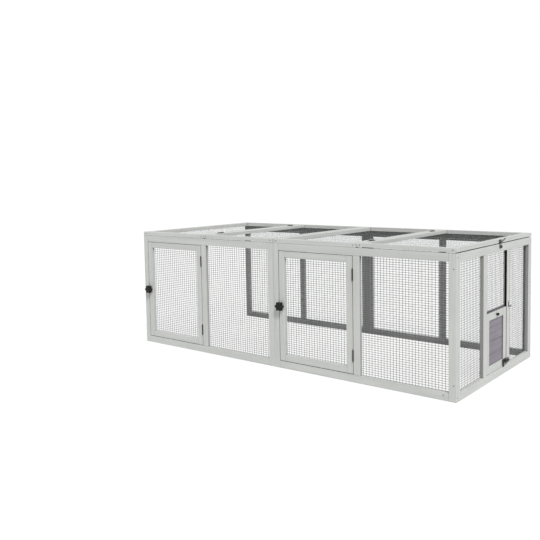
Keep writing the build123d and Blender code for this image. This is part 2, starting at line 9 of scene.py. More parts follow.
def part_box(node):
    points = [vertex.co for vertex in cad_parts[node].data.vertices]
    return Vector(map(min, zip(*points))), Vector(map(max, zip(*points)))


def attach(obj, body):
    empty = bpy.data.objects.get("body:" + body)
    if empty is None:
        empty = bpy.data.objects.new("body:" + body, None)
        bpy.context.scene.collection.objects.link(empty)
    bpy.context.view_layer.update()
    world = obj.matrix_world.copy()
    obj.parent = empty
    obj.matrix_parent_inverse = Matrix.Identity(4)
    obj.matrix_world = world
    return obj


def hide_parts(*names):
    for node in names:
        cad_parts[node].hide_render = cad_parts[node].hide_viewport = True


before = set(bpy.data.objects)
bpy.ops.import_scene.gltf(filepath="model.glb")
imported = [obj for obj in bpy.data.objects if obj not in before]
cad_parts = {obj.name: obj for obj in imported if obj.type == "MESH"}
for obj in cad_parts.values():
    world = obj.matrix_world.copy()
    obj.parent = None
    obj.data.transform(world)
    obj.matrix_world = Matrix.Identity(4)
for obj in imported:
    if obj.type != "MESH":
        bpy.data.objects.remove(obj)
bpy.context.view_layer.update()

# Millimetres from the front left bottom corner of the run, turned into metres of the frame
MM = 0.001
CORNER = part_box("front_1_uprights")[0]
END_FACE = (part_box("end_rails")[1].x - CORNER.x) / MM
BACK_FACE = (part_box("back_1_uprights")[1].y - CORNER.y) / MM
ROOF_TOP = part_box("lid_4_frame")[1].z / MM
LID_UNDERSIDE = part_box("lid_4_frame")[0].z / MM
WALL_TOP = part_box("end_rails")[1].z / MM
PANEL = END_FACE / 4
SECTION = END_FACE / 2
TIMBER = 44.0
X, Y, Z = range(3)


def at(x, y, z):
    """Point of the frame, given in millimetres from the run's front left bottom corner."""
    return CORNER + Vector((x, y, z)) * MM


# Camera of the photograph
CAMERA_PLACE = (3816.0, -3167.7, 1147.6)
CAMERA_AZIMUTH = math.radians(37.85)
CAMERA_DIP = math.radians(4.29)
CAMERA_ROLL = math.radians(-0.89)
CAMERA_LENS = 45.66
CAMERA_SENSOR = 36.0
CAMERA_SHIFT = (-0.0454, -0.0752)
CAMERA_FAR = 60.0


def make_camera():
    """Camera that looks from the front right corner, a little above the roof."""
    looks = Vector((-math.sin(CAMERA_AZIMUTH) * math.cos(CAMERA_DIP),
                    math.cos(CAMERA_AZIMUTH) * math.cos(CAMERA_DIP), -math.sin(CAMERA_DIP)))
    level = Vector((math.cos(CAMERA_AZIMUTH), math.sin(CAMERA_AZIMUTH), 0))
    upright = level.cross(looks)
    right = level * math.cos(CAMERA_ROLL) + upright * math.sin(CAMERA_ROLL)
    up = upright * math.cos(CAMERA_ROLL) - level * math.sin(CAMERA_ROLL)
    turn = Matrix((right, up, -looks)).transposed().to_4x4()
    data = bpy.data.cameras.new("photo_camera")
    data.lens = CAMERA_LENS
    data.sensor_width = CAMERA_SENSOR
    data.shift_x, data.shift_y = CAMERA_SHIFT
    data.clip_end = CAMERA_FAR
    camera = bpy.data.objects.new("photo_camera", data)
    camera.matrix_world = Matrix.Translation(at(*CAMERA_PLACE)) @ turn
    bpy.context.scene.collection.objects.link(camera)
    bpy.context.scene.camera = camera


# Shader helpers
def new_material(name):
    """New material with its node tree and Principled shader."""
    made = bpy.data.materials.new(name)
    made.use_nodes = True
    tree = made.node_tree
    return made, tree, tree.nodes["Principled BSDF"]


def connect(tree, value, socket):
    """Sets a socket to a value, or links an output to it."""
    if isinstance(value, bpy.types.NodeSocket):
        tree.links.new(value, socket)
    else:
        socket.default_value = value


def add(tree, kind, settings=None, **inputs):
    """Adds a node and fills its inputs by name."""
    made = tree.nodes.new(kind)
    for key, value in (settings or {}).items():
        setattr(made, key, value)
    for key, value in inputs.items():
        connect(tree, value, made.inputs[key.replace("_", " ")])
    return made


def maths(tree, operation, first, second=0.0):
    """Result of one arithmetic step."""
    made = tree.nodes.new("ShaderNodeMath")
    made.operation = operation
    connect(tree, first, made.inputs[0])
    connect(tree, second, made.inputs[1])
    return made.outputs[0]


# Sockets of a Mix node: its share, first and second input, and its output
MIX_SOCKETS = {"RGBA": ((0, 6, 7), 2), "VECTOR": ((0, 4, 5), 1)}


def blended(tree, share, first, second, kind="RGBA"):
    """Value between two colours or two vectors."""
    made = tree.nodes.new("ShaderNodeMix")
    made.data_type = kind
    sockets, result = MIX_SOCKETS[kind]
    for index, value in zip(sockets, (share, first, second)):
        connect(tree, value, made.inputs[index])
    return made.outputs[result]


def ranged(tree, value, low, high, out_low=0.0, out_high=1.0):
    """Value stretched from one range to another, and clamped."""
    made = add(tree, "ShaderNodeMapRange", Value=value,
               From_Min=low, From_Max=high, To_Min=out_low, To_Max=out_high)
    return made.outputs[0]


def stretched(tree, coords, scale):
    """Coordinates scaled on each axis."""
    return add(tree, "ShaderNodeMapping", Vector=coords, Scale=scale).outputs[0]


def separated(tree, vector):
    """The three parts of a vector."""
    return add(tree, "ShaderNodeSeparateXYZ", Vector=vector).outputs


def noise(tree, coords, scale, detail=3.0, rough=0.55):
    """Noise from 0 to 1."""
    made = add(tree, "ShaderNodeTexNoise", Vector=coords, Scale=scale, Detail=detail, Roughness=rough)
    return made.outputs[0]


def bumped(tree, shader, height, distance, strength=1.0):
    """Gives a shader relief from a height."""
    made = add(tree, "ShaderNodeBump", Height=height, Distance=distance, Strength=strength)
    tree.links.new(made.outputs[0], shader.inputs["Normal"])


# How well the eased normal agrees with the flat one on an open face and at a sharp edge
EDGE_SAMPLES = 4
FLAT_DOT = 0.995
SHARP_DOT = 0.80


def edge_mask(tree, radius):
    """1 at sharp edges and 0 on flat faces."""
    soft = add(tree, "ShaderNodeBevel", {"samples": EDGE_SAMPLES}, Radius=radius).outputs[0]
    flat = tree.nodes.new("ShaderNodeNewGeometry").outputs["Normal"]
    dot = add(tree, "ShaderNodeVectorMath", {"operation": "DOT_PRODUCT"})
    tree.links.new(soft, dot.inputs[0])
    tree.links.new(flat, dot.inputs[1])
    return ranged(tree, dot.outputs["Value"], FLAT_DOT, SHARP_DOT)


# How open a place is within reach, and where the painted shade of the gaps is full and where it is gone
GAP_SAMPLES = 6
GAP_REACH = 6.0 * MM
GAP_SHUT = 0.25
GAP_OPEN = 0.85


def gap_shade_mask(tree):
    """Painted shade: 0 deep in the narrow gaps and grooves between the timbers, 1 on open faces."""
    made = add(tree, "ShaderNodeAmbientOcclusion", {"samples": GAP_SAMPLES}, Distance=GAP_REACH)
    return ranged(tree, made.outputs["AO"], GAP_SHUT, GAP_OPEN)


# Noise cells per metre along the grain and across it, and how much finer the brush strokes are
ALONG = 2.2
ACROSS = 95.0
BRUSH = 3.6


def grain_scale(axis):
    """Scale that draws noise out along one axis."""
    return tuple(ALONG if index == axis else ACROSS for index in range(3))


def grain_coords(tree, coords, axis, other, split):
    """Coordinates drawn out along axis, or along other inside split.

    split = (axis, centre, half width) of a band.
    """
    main = stretched(tree, coords, grain_scale(axis))
    if other is None:
        return main
    second = stretched(tree, coords, grain_scale(other))
    across, centre, half_width = split
    away = maths(tree, "ABSOLUTE", maths(tree, "SUBTRACT", separated(tree, coords)[across], centre))
    inside = maths(tree, "LESS_THAN", away, half_width)
    return blended(tree, inside, main, second, "VECTOR")


# How deep the unshaded paint goes, and its share on the right sides of the front timber, whose rest is
# painted shade
OUTER_SKIN = 2.0 * MM
FRONT_DEEP = 30.0 * MM
SIDE_UNSHADED_SHARE = 0.6
# Parts of a normal that count as facing the front, the right and upwards
FRONTWARD = -0.3
RIGHTWARD = 0.6
UPWARD = 0.6


def unshaded_face_mask(tree, coords, normals, face_x):
    """1 on the outer faces of the run and on faces that look up, which keep the paint; 0 on the inner sides
    of the timber, which get painted shade.

    The right sides of the front timber lie in between.
    """
    place = separated(tree, coords)
    normal = separated(tree, normals)
    back_y = CORNER.y + BACK_FACE * MM
    front = maths(tree, "MULTIPLY", maths(tree, "LESS_THAN", place[Y], CORNER.y + OUTER_SKIN),
                  maths(tree, "LESS_THAN", normal[Y], FRONTWARD))
    side = maths(tree, "MULTIPLY", maths(tree, "LESS_THAN", place[Y], CORNER.y + FRONT_DEEP),
                 maths(tree, "GREATER_THAN", normal[X], RIGHTWARD))
    total = front
    for test in (maths(tree, "MULTIPLY", side, SIDE_UNSHADED_SHARE),
                 maths(tree, "GREATER_THAN", place[Y], back_y - OUTER_SKIN),
                 maths(tree, "LESS_THAN", place[X], CORNER.x + OUTER_SKIN),
                 maths(tree, "GREATER_THAN", place[X], face_x - OUTER_SKIN),
                 maths(tree, "GREATER_THAN", normal[Z], UPWARD)):
        total = maths(tree, "MAXIMUM", total, test)
    return total


# Tones of the timber: paint, its darker strokes, and bare wood
PAINTED = ((0.545, 0.555, 0.535, 1), (0.475, 0.485, 0.467, 1), (0.34, 0.32, 0.28, 1))
PLANKS = ((0.248, 0.227, 0.258, 1), (0.180, 0.163, 0.190, 1), (0.12, 0.105, 0.115, 1))
# The lintel is a darker copy of the planks: painted shade where it lies recessed above the pop door
LINTEL_SHADE_SHARE = 0.55
LINTEL_SHADED = tuple(tuple(LINTEL_SHADE_SHARE * part for part in tone[:3]) + (1,) for tone in PLANKS[:2]) + PLANKS[2:]
# Painted shade deep in the gaps
GAP_SHADE = (0.03, 0.03, 0.029, 1)
STREAK = (0, 0, 0, 1)

# Painted shade on the sides that face into the run: a tone below, a darker one near the roof where the roof
# shades them, and the heights between
INNER_SHADE = ((0.235, 0.24, 0.234, 1), (0.055, 0.057, 0.055, 1))
END_INNER_SHADE = ((0.31, 0.315, 0.305, 1),) * 2
POP_INNER_SHADE = ((0.20, 0.20, 0.20, 1),) * 2
ROOF_SHADE_LOW = 0.60
ROOF_SHADE_HIGH = 0.70

# How far each layer of the paint shows, and what it adds to the relief
PATCH_SHOWS = 0.55
KNOT_SHOWS = 0.30
WORN_SHOWS = 0.45
WORN_REACH = 2.2 * MM
GRAIN_RISE = 0.7
BRUSH_RISE = 0.3
KNOT_DROP = 0.35
PAINT_RELIEF = 0.7 * MM


def wood_paint(name, axis, tones, other=None, split=None, inner_shade=None, face_x=None):
    """Brushed paint over softwood grain, thin at the edges, with faint knots and painted shade in the gaps.

    The grain runs along axis. tones = (paint, darker strokes, bare wood). The inner tones (below, and near
    the roof) are painted shade on the sides that face into the run, whose right face is at face_x.
    """
    paint, shade, bare = tones
    made, tree, shader = new_material(name)
    texture = tree.nodes.new("ShaderNodeTexCoord").outputs
    coords = texture["Object"]
    lines = grain_coords(tree, coords, axis, other, split)
    grain = noise(tree, lines, scale=1.0, detail=5.0, rough=0.62)
    brush = noise(tree, lines, scale=BRUSH, detail=2.0, rough=0.5)
    patch = noise(tree, coords, scale=7.0)
    speck = noise(tree, coords, scale=160.0, detail=2.0)
    from_knot = add(tree, "ShaderNodeTexVoronoi", Vector=lines, Scale=0.42).outputs[0]
    knot = ranged(tree, from_knot, low=0.16, high=0.03)
    tone = blended(tree, ranged(tree, grain, low=0.38, high=0.70), paint, shade)
    patchy = maths(tree, "MULTIPLY", ranged(tree, patch, low=0.45, high=0.75), PATCH_SHOWS)
    tone = blended(tree, patchy, tone, shade)
    tone = blended(tree, maths(tree, "MULTIPLY", knot, KNOT_SHOWS), tone, bare)
    # Painted shade on the sides that face into the run, deepening near the roof
    if inner_shade:
        unshaded = unshaded_face_mask(tree, coords, texture["Normal"], face_x)
        painted_shade = blended(tree, ranged(tree, separated(tree, coords)[Z], ROOF_SHADE_LOW, ROOF_SHADE_HIGH), *inner_shade)
        clear = ranged(tree, grain, low=0.35, high=0.70, out_low=1.0, out_high=0.8)
        painted_shade = blended(tree, clear, STREAK, painted_shade)
        tone = blended(tree, unshaded, painted_shade, tone)
    worn = maths(tree, "MULTIPLY", edge_mask(tree, WORN_REACH), ranged(tree, speck, low=0.46, high=0.62))
    tone = blended(tree, maths(tree, "MULTIPLY", worn, WORN_SHOWS), tone, bare)
    # Painted shade in the gaps and grooves between the timbers
    tone = blended(tree, gap_shade_mask(tree), GAP_SHADE, tone)
    connect(tree, tone, shader.inputs["Base Color"])
    rough = ranged(tree, brush, low=0.3, high=0.7, out_low=0.52, out_high=0.70)
    connect(tree, rough, shader.inputs["Roughness"])
    shader.inputs["Specular IOR Level"].default_value = 0.35
    height = maths(tree, "ADD", maths(tree, "MULTIPLY", grain, GRAIN_RISE),
                   maths(tree, "MULTIPLY", brush, BRUSH_RISE))
    height = maths(tree, "SUBTRACT", height, maths(tree, "MULTIPLY", knot, KNOT_DROP))
    bumped(tree, shader, height, distance=PAINT_RELIEF, strength=0.8)
    return made


def plain_material(name):
    """New material with its node tree, its shader and the coordinates of the object."""
    made, tree, shader = new_material(name)
    return made, tree, shader, tree.nodes.new("ShaderNodeTexCoord").outputs["Object"]


def wire_steel(name, low, high, stain, metal):
    """Galvanised wire with zinc patches, stained in places."""
    made, tree, shader, coords = plain_material(name)
    patch = noise(tree, coords, scale=240.0)
    grime = noise(tree, coords, scale=9.0)
    tone = blended(tree, ranged(tree, patch, low=0.35, high=0.7), low, high)
    tone = blended(tree, ranged(tree, grime, low=0.5, high=0.8, out_high=0.5), tone, stain)
    connect(tree, tone, shader.inputs["Base Color"])
    rough = ranged(tree, patch, low=0.3, high=0.7, out_low=0.38, out_high=0.62)
    connect(tree, rough, shader.inputs["Roughness"])
    shader.inputs["Metallic"].default_value = metal
    bumped(tree, shader, patch, distance=0.2 * MM, strength=0.5)
    return made


def moulded_plastic(name, low, high):
    """Black moulded plastic with a fine spark texture."""
    made, tree, shader, coords = plain_material(name)
    fine = noise(tree, coords, scale=1400.0, detail=2.0)
    broad = noise(tree, coords, scale=30.0)
    tone = blended(tree, ranged(tree, broad, low=0.4, high=0.7), low, high)
    connect(tree, tone, shader.inputs["Base Color"])
    rough = ranged(tree, fine, low=0.3, high=0.7, out_low=0.40, out_high=0.56)
    connect(tree, rough, shader.inputs["Roughness"])
    shader.inputs["Specular IOR Level"].default_value = 0.18
    bumped(tree, shader, fine, distance=0.1 * MM, strength=0.6)
    return made


RUB_REACH = 0.8 * MM
RUB_SHOWS = 0.5


def coated_steel(name, low, high, rubbed):
    """Black coated steel, rubbed at its edges."""
    made, tree, shader, coords = plain_material(name)
    peel = noise(tree, coords, scale=500.0, detail=2.0)
    scuff = noise(tree, coords, scale=120.0, detail=4.0)
    rub = maths(tree, "MULTIPLY", edge_mask(tree, RUB_REACH), ranged(tree, scuff, low=0.48, high=0.66))
    tone = blended(tree, ranged(tree, scuff, low=0.4, high=0.8), low, high)
    tone = blended(tree, maths(tree, "MULTIPLY", rub, RUB_SHOWS), tone, rubbed)
    connect(tree, tone, shader.inputs["Base Color"])
    rough = ranged(tree, peel, low=0.3, high=0.7, out_low=0.30, out_high=0.46)
    connect(tree, rough, shader.inputs["Roughness"])
    bumped(tree, shader, peel, distance=0.12 * MM, strength=0.5)
    return made


def screw_zinc(name, low, high):
    """Dull zinc, darker in its pits."""
    made, tree, shader, coords = plain_material(name)
    pits = noise(tree, coords, scale=700.0)
    tone = blended(tree, ranged(tree, pits, low=0.35, high=0.65), low, high)
    connect(tree, tone, shader.inputs["Base Color"])
    rough = ranged(tree, pits, low=0.3, high=0.7, out_low=0.35, out_high=0.55)
    connect(tree, rough, shader.inputs["Roughness"])
    shader.inputs["Metallic"].default_value = 0.8
    bumped(tree, shader, pits, distance=0.1 * MM, strength=0.5)
    return made


# Tones of the metals and the plastic
DULL_ZINC = (0.085, 0.086, 0.089, 1)
MID_ZINC = (0.160, 0.162, 0.166, 1)
# Paler copy of the wire tones for the back walls: a painted highlight that makes them fade into the bright
# background
ZINC_HIGHLIGHT = (0.70, 0.71, 0.72, 1)
ZINC_HIGHLIGHT_PALE = (0.82, 0.83, 0.84, 1)
STAIN = (0.085, 0.084, 0.080, 1)
PLASTIC = ((0.008, 0.008, 0.009, 1), (0.015, 0.015, 0.016, 1))
COAT = ((0.012, 0.012, 0.013, 1), (0.024, 0.024, 0.025, 1))
RUBBED = (0.16, 0.16, 0.16, 1)
SCREW_TONES = ((0.14, 0.14, 0.135, 1), (0.30, 0.30, 0.29, 1))

END_X = CORNER.x + END_FACE * MM
POP_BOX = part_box("pop_door_frame")
PLANK_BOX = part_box("pop_door_planks")
POP_SPLIT = (Y, (POP_BOX[0].y + POP_BOX[1].y) / 2, (PLANK_BOX[1].y - PLANK_BOX[0].y) / 2)
ROOF_SPLIT = (Y, CORNER.y + BACK_FACE * MM / 2, (BACK_FACE / 2 - TIMBER) * MM)

LOOKS = {
    # Timber given inner tones gets painted shade on the sides that face into the run
    "wood_upright": wood_paint("wood_upright", Z, PAINTED, inner_shade=INNER_SHADE, face_x=END_X),
    "wood_long": wood_paint("wood_long", X, PAINTED, inner_shade=INNER_SHADE, face_x=END_X),
    "door_upright": wood_paint("door_upright", Z, PAINTED),
    "door_long": wood_paint("door_long", X, PAINTED),
    "wood_end": wood_paint("wood_end", Z, PAINTED, inner_shade=END_INNER_SHADE, face_x=END_X),
    "wood_deep": wood_paint("wood_deep", Y, PAINTED, inner_shade=END_INNER_SHADE, face_x=END_X),
    "wood_roof": wood_paint("wood_roof", X, PAINTED, other=Y, split=ROOF_SPLIT),
    "wood_pop": wood_paint("wood_pop", Z, PAINTED, other=Y, split=POP_SPLIT,
                           inner_shade=POP_INNER_SHADE, face_x=POP_BOX[1].x),
    "plank": wood_paint("plank", Y, PLANKS),
    # The planks' tones in painted shade
    "lintel": wood_paint("lintel", Y, LINTEL_SHADED),
    "wire": wire_steel("wire", DULL_ZINC, MID_ZINC, STAIN, metal=0.45),
    # The back walls' wire, in tones made pale as a painted highlight
    "back_wire_painted_light": wire_steel("back_wire_painted_light", ZINC_HIGHLIGHT, ZINC_HIGHLIGHT_PALE, MID_ZINC, metal=0.85),
    "plastic": moulded_plastic("plastic", *PLASTIC),
    "black": coated_steel("black", *COAT, RUBBED),
    "zinc": screw_zinc("zinc", *SCREW_TONES),
}

# Least turn of a sharp edge
SHARP = math.radians(40)
WELD_REACH = 0.02 * MM
EASE_STEPS = 2


def dress(node, look, edge):
    """Gives a carried-over piece its material, and edges eased by some millimetres."""
    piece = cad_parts[node]
    piece.data.materials.clear()
    piece.data.materials.append(LOOKS[look])
    joined = piece.modifiers.new("join", "WELD")
    joined.merge_threshold = WELD_REACH
    eased = piece.modifiers.new("ease", "BEVEL")
    eased.width = edge * MM
    eased.segments = EASE_STEPS
    eased.limit_method = "ANGLE"
    eased.angle_limit = SHARP


# Width of the eased edges, in millimetres
TIMBER_EASE = 1.8
CORNER_EASE = 2.4
STILE_EASE = 1.0
POP_EASE = 0.8
PLANK_EASE = 1.4
LINTEL_EASE = 0.6
SHEET_EASE = 0.2
FITTING_EASE = 0.4

METAL_PIECES = ("lid_2_roof_leaves", "lid_4_roof_leaves", "lid_2_leaves", "lid_4_leaves", "lid_hinge_pins",
                "door_hinge_pins", "lid_latch_plate", "lid_latch_strap", "lid_latch_staple",
                "lid_latch_button", "pop_bolt_base", "pop_bolt_rod", "pop_bolt_keeper", "pop_door_hook")


def dress_frame():
    """Timber, planks and fittings that keep their own solids."""
    for number in (1, 2):
        for side in ("front", "back"):
            dress(f"{side}_{number}_uprights", "wood_upright", TIMBER_EASE)
            dress(f"{side}_{number}_rails", "wood_long", TIMBER_EASE)
        dress(f"door_{number}_stiles", "door_upright", TIMBER_EASE)
        dress(f"door_{number}_rails", "door_long", TIMBER_EASE)
        dress(f"door_{number}_post_leaves", "black", SHEET_EASE)
        dress(f"door_{number}_door_leaves", "black", SHEET_EASE)
        dress(f"door_{number}_knob", "plastic", FITTING_EASE)
        dress(f"door_{number}_latch_bar", "black", FITTING_EASE)
    for node in ("roof_1_frame", "roof_3_frame", "lid_2_frame", "lid_4_frame"):
        dress(node, "wood_roof", TIMBER_EASE)
    dress("end_corner_posts", "wood_end", CORNER_EASE)
    dress("end_stiles", "wood_end", STILE_EASE)
    dress("end_rails", "wood_deep", TIMBER_EASE)
    dress("pop_door_frame", "wood_pop", POP_EASE)
    dress("pop_door_planks", "plank", PLANK_EASE)
    dress("pop_door_lintel", "lintel", LINTEL_EASE)
    dress("pop_door_tracks", "plastic", SHEET_EASE)
    dress("pop_door_knob", "plastic", FITTING_EASE)
    for node in METAL_PIECES:
        dress(node, "black", SHEET_EASE)


def finished(name, verts, faces, look, body, replaces=(), smooth=True):
    """Turns vertices and faces into a piece that rides on a body."""
    data = bpy.data.meshes.new(name)
    data.from_pydata(verts, [], faces)
    data.validate()
    data.materials.append(LOOKS[look])
    if smooth:
        data.polygons.foreach_set("use_smooth", [True] * len(data.polygons))
        data.set_sharp_from_angle(angle=SHARP)
    piece = bpy.data.objects.new(name, data)
    bpy.context.scene.collection.objects.link(piece)
    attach(piece, body)
    if replaces:
        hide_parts(*replaces)


TUBE_SIDES = 6
# A direction that no wire runs along
ASKEW = Vector((0.3, 0.5, 0.81))


def tube(verts, faces, points, radius, thin=(Z, 1.0)):
    """Adds a capped bar along points. thin = (axis, share of the radius that is left along it)."""
    start = len(verts)
    thin_axis, share = thin
    for index, point in enumerate(points):
        before = points[max(index - 1, 0)]
        after = points[min(index + 1, len(points) - 1)]
        run = (after - before).normalized()
        aside = run.cross(ASKEW).normalized()
        other = run.cross(aside)
        for side in range(TUBE_SIDES):
            angle = 2 * math.pi * side / TUBE_SIDES
            reach = (aside * math.cos(angle) + other * math.sin(angle)) * radius
            reach[thin_axis] *= share
            verts.append(point + reach)
    for ring in range(len(points) - 1):
        low = start + ring * TUBE_SIDES
        high = low + TUBE_SIDES
        for side in range(TUBE_SIDES):
            beside = (side + 1) % TUBE_SIDES
            faces.append((low + side, low + beside, high + beside, high + side))
    last = start + (len(points) - 1) * TUBE_SIDES
    faces.append(tuple(start + side for side in reversed(range(TUBE_SIDES))))
    faces.append(tuple(last + side for side in range(TUBE_SIDES)))


# Welded mesh of 19.05 by 12.7 mm, of wires that wander a little at every step. The wire differs from
# wall to wall, to match how dense each wall looks.
COLUMN = 19.05 * MM
ROW = 12.7 * MM
WIRE_R = 1.08 * MM
END_WIRE_R = 0.82 * MM
BACK_WIRE_R = 0.50 * MM
ROOF_WIRE_THIN = 0.12
WIRE_STEPS = 5
WAVE = 0.16 * MM
LAYER_SHARE = 0.75

# Staples, and the wires of a sheet that they hold
STAPLE_R = 0.55 * MM
STAPLE_HALF = 5.0 * MM
STAPLE_BITE = 2.1 * MM
STAPLE_DRIFT = 1.0 * MM
STAPLE_INSET = 8.0 * MM
LID_STAPLE_INSET = 25.0 * MM
STAPLED_COLUMNS = slice(2, -1, 4)
STAPLED_ROWS = slice(3, -2, 6)


def even_places(low, high, pitch, margin):
    """Places a pitch apart, centred between two ends."""
    count = int((high - low - margin) // pitch)
    start = (low + high - count * pitch) / 2
    return [start + index * pitch for index in range(count + 1)]


def welded_mesh(node, body, axes, wood_side, radius=WIRE_R, thin=1.0, edge=STAPLE_INSET, look="wire"):
    """Full welded mesh in place of a coarse net, with staples along its four edges.

    axes = (axis that the columns are spread over, axis that they run along, normal of the sheet).
    wood_side is 1 or -1, the side of the sheet on which the timber lies.
    """
    across, along, normal = axes
    low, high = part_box(node)
    wander = random.Random(sum(map(ord, node)))
    columns = even_places(low[across], high[across], COLUMN, 2 * radius)
    rows = even_places(low[along], high[along], ROW, 2 * radius)
    middle = (low[normal] + high[normal]) / 2
    layer = wood_side * radius * LAYER_SHARE * thin
    verts, faces = [], []

    def wire(spot, spread, run, depth):
        """One wire at a spot on the spread axis, along the run axis."""
        points = []
        for step in range(WIRE_STEPS + 1):
            point = Vector((0, 0, 0))
            point[spread] = spot + wander.uniform(-WAVE, WAVE)
            point[run] = low[run] + (high[run] - low[run]) * step / WIRE_STEPS
            point[normal] = depth
            points.append(point)
        tube(verts, faces, points, radius, (normal, thin))

    for u in columns:
        wire(u, across, along, middle + layer)
    for v in rows:
        wire(v, along, across, middle - layer)
    finished(f"{node}_wires", verts, faces, look, body, replaces=(node,))

    verts, faces = [], []
    crown = middle - wood_side * (2 * radius + STAPLE_R)
    root = middle + wood_side * STAPLE_BITE

    def staple(u, v, wide):
        """A staple over one wire, its crown along the wide axis."""
        points = []
        for end, depth in ((-1, root), (-1, crown), (1, crown), (1, root)):
            spot = {across: u, along: v, normal: depth}
            spot[wide] += end * STAPLE_HALF
            points.append(Vector([spot[axis] for axis in (X, Y, Z)]))
        tube(verts, faces, points, STAPLE_R)

    for u in columns[STAPLED_COLUMNS]:
        for v in (low[along] + edge, high[along] - edge):
            staple(u + wander.uniform(-1, 1) * STAPLE_DRIFT, v, across)
    for v in rows[STAPLED_ROWS]:
        for u in (low[across] + edge, high[across] - edge):
            staple(u, v + wander.uniform(-1, 1) * STAPLE_DRIFT, along)
    finished(f"{node}_staples", verts, faces, "zinc", body)


def all_meshes():
    """Every mesh sheet of the walls, the doors and the roof."""
    for number in (1, 2):
        welded_mesh(f"front_{number}_mesh", "run_frame", (X, Z, Y), -1)
        # Back walls: thinner wire, in tones painted pale as a highlight
        welded_mesh(f"back_{number}_mesh", "run_frame", (X, Z, Y), 1, BACK_WIRE_R, look="back_wire_painted_light")
        welded_mesh(f"door_{number}_mesh", f"door_{number}", (X, Z, Y), -1)
    for side in ("front", "middle", "back"):
        welded_mesh(f"end_mesh_{side}", "run_frame", (Y, Z, X), 1, END_WIRE_R)
    for number in (1, 3):
        welded_mesh(f"roof_{number}_mesh", "run_frame", (X, Y, Z), 1, thin=ROOF_WIRE_THIN)
    for number in (2, 4):
        welded_mesh(f"lid_{number}_mesh", f"lid_{number}", (X, Y, Z), 1,
                    thin=ROOF_WIRE_THIN, edge=LID_STAPLE_INSET)


# Screw heads: sides, and measures as shares of the radius
HEAD_SIDES = 24
HEAD_DEEP = 0.6
SKIRT_SHARE = 0.5
CROSS_ARM = 0.62
CROSS_HALF = 0.14
CROSS_LIFT = 0.06
RECESS_SHARE = 0.8
RECESS_DEEP = 0.32


def neighbours(ring):
    """Each item of a closed ring with the next one."""
    return list(zip(ring, ring[1:] + ring[:1]))


def cross_head(radius):
    """Countersunk head with a cross recess, pointing up, as vertices and faces."""
    made = bmesh.new()
    turns = [2 * math.pi * side / HEAD_SIDES for side in range(HEAD_SIDES)]
    rim = [made.verts.new((math.cos(turn), math.sin(turn), 0)) for turn in turns]
    arm, half = CROSS_ARM, CROSS_HALF
    outline = [(arm, -half), (arm, half), (half, half), (half, arm), (-half, arm), (-half, half),
               (-arm, half), (-arm, -half), (-half, -half), (-half, -arm), (half, -arm), (half, -half)]
    cross = [made.verts.new((x, y, CROSS_LIFT)) for x, y in outline]
    edges = [made.edges.new(pair) for ring in (rim, cross) for pair in neighbours(ring)]
    bmesh.ops.triangle_fill(made, use_beauty=True, use_dissolve=False, edges=edges)
    floor = [made.verts.new((x * RECESS_SHARE, y * RECESS_SHARE, -RECESS_DEEP)) for x, y in outline]
    for (upper, next_upper), (lower, next_lower) in zip(neighbours(cross), neighbours(floor)):
        made.faces.new((upper, next_upper, next_lower, lower))
    made.faces.new(floor)
    skirt = [made.verts.new((v.co.x * SKIRT_SHARE, v.co.y * SKIRT_SHARE, -HEAD_DEEP)) for v in rim]
    for (upper, next_upper), (lower, next_lower) in zip(neighbours(rim), neighbours(skirt)):
        made.faces.new((next_upper, upper, lower, next_lower))
    made.faces.new(list(reversed(skirt)))
    bmesh.ops.recalc_face_normals(made, faces=made.faces)
    verts = [v.co * radius for v in made.verts]
    made.verts.index_update()
    faces = [tuple(v.index for v in face.verts) for face in made.faces]
    made.free()
    return verts, faces


# Height of a head above its face, in millimetres
PROUD = 0.2


def heads(name, body, places, radius, replaces=()):
    """Screw heads at places = [(point, direction)], in millimetres, each with its own turn."""
    head_verts, head_faces = cross_head(radius * MM)
    wander = random.Random(len(places) + len(name))
    verts, faces = [], []
    for point, out in places:
        start = len(verts)
        spin = Matrix.Rotation(wander.uniform(0, math.pi), 3, "Z")
        turn = Vector(out).to_track_quat("Z", "Y").to_matrix() @ spin
        base = at(*point) + Vector(out) * PROUD * MM
        verts += [base + turn @ v for v in head_verts]
        faces += [tuple(start + index for index in face) for face in head_faces]
    finished(name, verts, faces, "zinc", body, replaces, smooth=False)


FRONT, BACK, RIGHT, UP, LEFT = (0, -1, 0), (0, 1, 0), (1, 0, 0), (0, 0, 1), (-1, 0, 0)
SCREW_R = 4.0
SMALL_R = 2.4
STAPLE_SCREW_R = SMALL_R * 0.8
BOLT_SCREW_R = SMALL_R * 0.7

# Places of the screws, in millimetres as in the solids
SCREW_Z = (84.5, 680)
SECTION_SCREW_Z = (190, 570)
RAIL_SCREW = (2302, 0, 27)
PLATE = 1.2
LID_HINGE_Y = (166, 926)
LEAF_SCREW_OUT = 9.5
LEAF_SCREW_STEPS = (-17, 17)
HASP_Y = 575
HASP_SCREW_STEPS = (-10, 10)
HASP_SCREW_Z = 776
STAPLE_Z = 744
KEEPER_SCREWS = ((701, 57.5), (701, 79.5), (707, 407))
POP_DOOR_BACK = 4
BOLT_SCREW_Y = (629, 678)
BOLT_SCREW_Z = (57.5, 80.5)


